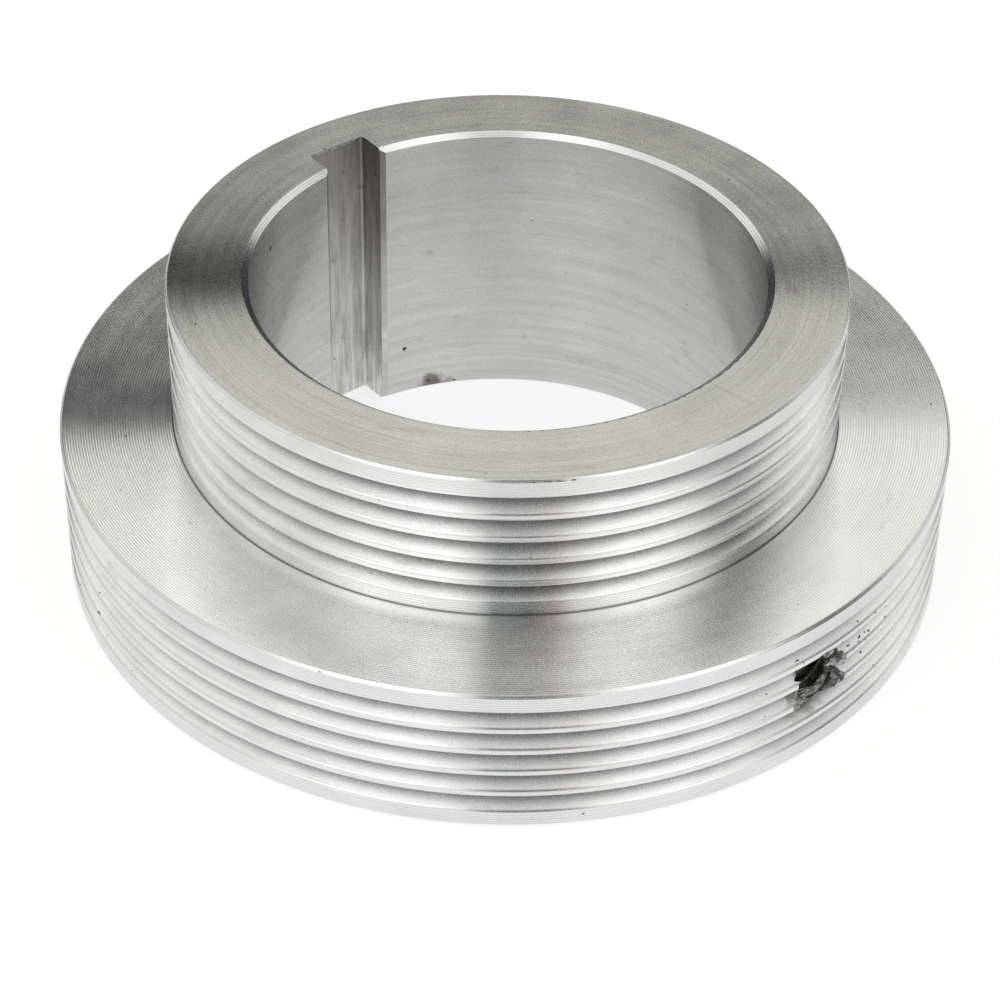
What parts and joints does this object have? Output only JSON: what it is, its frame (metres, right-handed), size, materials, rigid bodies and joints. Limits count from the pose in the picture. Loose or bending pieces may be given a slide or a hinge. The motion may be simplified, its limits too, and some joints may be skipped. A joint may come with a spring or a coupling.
{
  "type": "spindle pulley",
  "caption": "Two-step ribbed-belt pulley turned from aluminium, with a large keyed through bore and a radial tapped hole for a set screw.",
  "frame": {"origin": "centre of the bottom face of the large step, on the bore's axis", "axes": "+Z along the bore's axis from the large step towards the small step; the keyway is centred on +Y; the set-screw hole points near -Y"},
  "size_m": [0.081, 0.081, 0.029],
  "materials": {
    "turned_aluminium": "bare turned metal with fine concentric tool marks"
  },
  "bodies": {
    "root": {"spindle_pulley": "turned_aluminium"}
  },
  "joints": []
}
